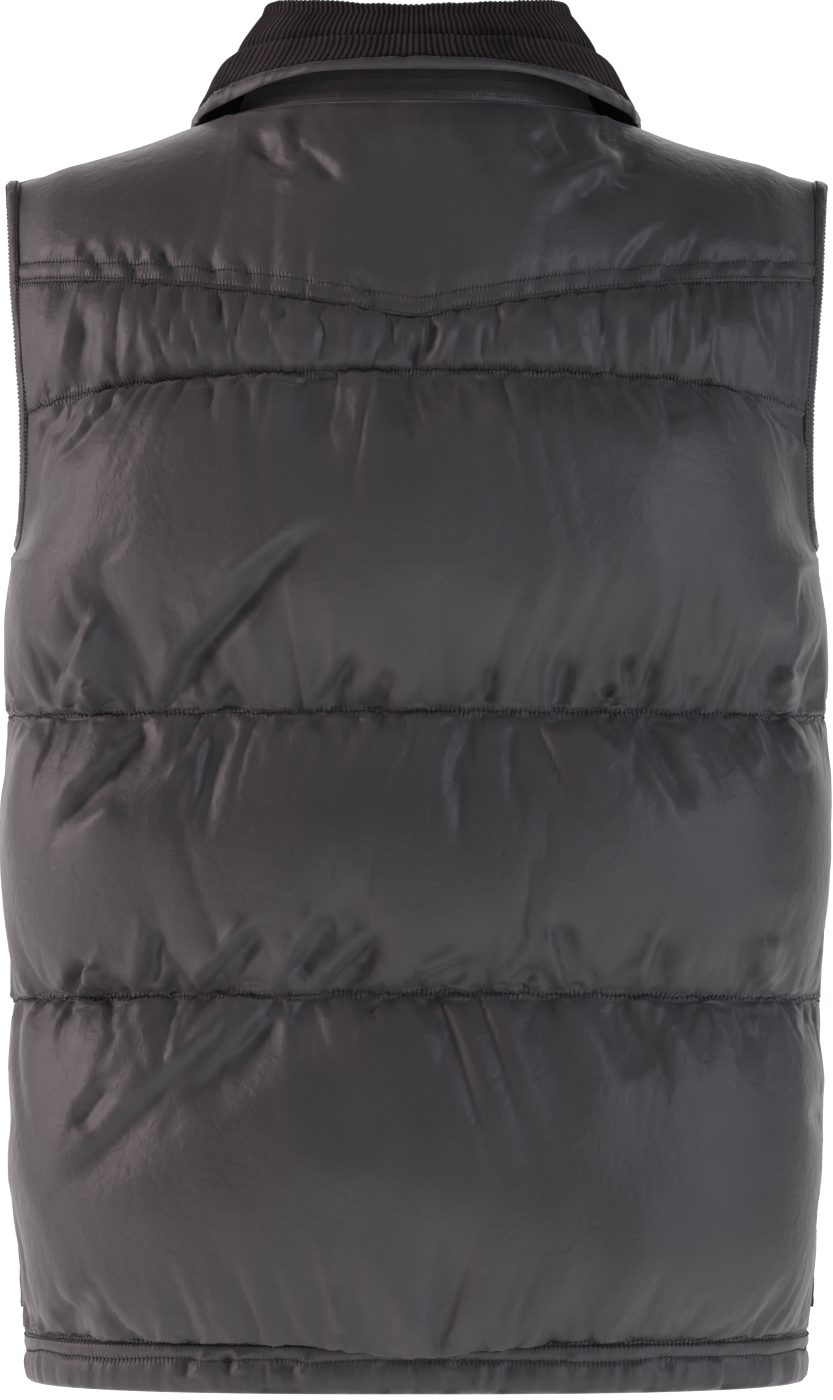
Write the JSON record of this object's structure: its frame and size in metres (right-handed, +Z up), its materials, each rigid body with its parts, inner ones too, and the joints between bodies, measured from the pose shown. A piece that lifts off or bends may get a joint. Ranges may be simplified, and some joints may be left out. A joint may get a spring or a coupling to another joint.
{
  "type": "quilted vest",
  "caption": "Sleeveless padded vest with horizontal quilted channels, a pointed back yoke, a turned-down corduroy collar and a zipped front.",
  "frame": {"origin": "midway between the two shoulder points at the neck, where the wearer's shoulders carry the vest", "axes": "+Z up, the zipped fronts face -Y, the wearer's left is +X"},
  "size_m": [0.4478, 0.2868, 0.7453],
  "materials": {
    "shell_cloth": "smooth, soft sheen",
    "corduroy": "ribbed pile, matt",
    "zip_tape": "woven, matt",
    "zip_metal": "dark plated"
  },
  "bodies": {
    "vest": {"hem_band_back": "shell_cloth", "back_body": "shell_cloth", "back_yoke": "shell_cloth", "hem_band_front_left": "shell_cloth", "front_left": "shell_cloth", "hem_band_front_right": "shell_cloth", "front_right": "shell_cloth", "armhole_band_left": "shell_cloth", "armhole_band_right": "shell_cloth", "collar_corduroy": "corduroy", "collar_shell": "shell_cloth", "zip_tape_left": "zip_tape", "zip_tape_right": "zip_tape", "zip_slider": "zip_metal", "pocket_welt_left": "shell_cloth", "pocket_welt_right": "shell_cloth"},
    "pull_tab": {"zip_pull": "zip_metal"}
  },
  "joints": [
    {"name": "pull_swing", "type": "hinge", "parent": "vest", "child": "pull_tab", "pos_m": [0, -0.09855, -0.09656], "axis": [-1, 0, 0], "range_deg": [0, 160]}
  ]
}
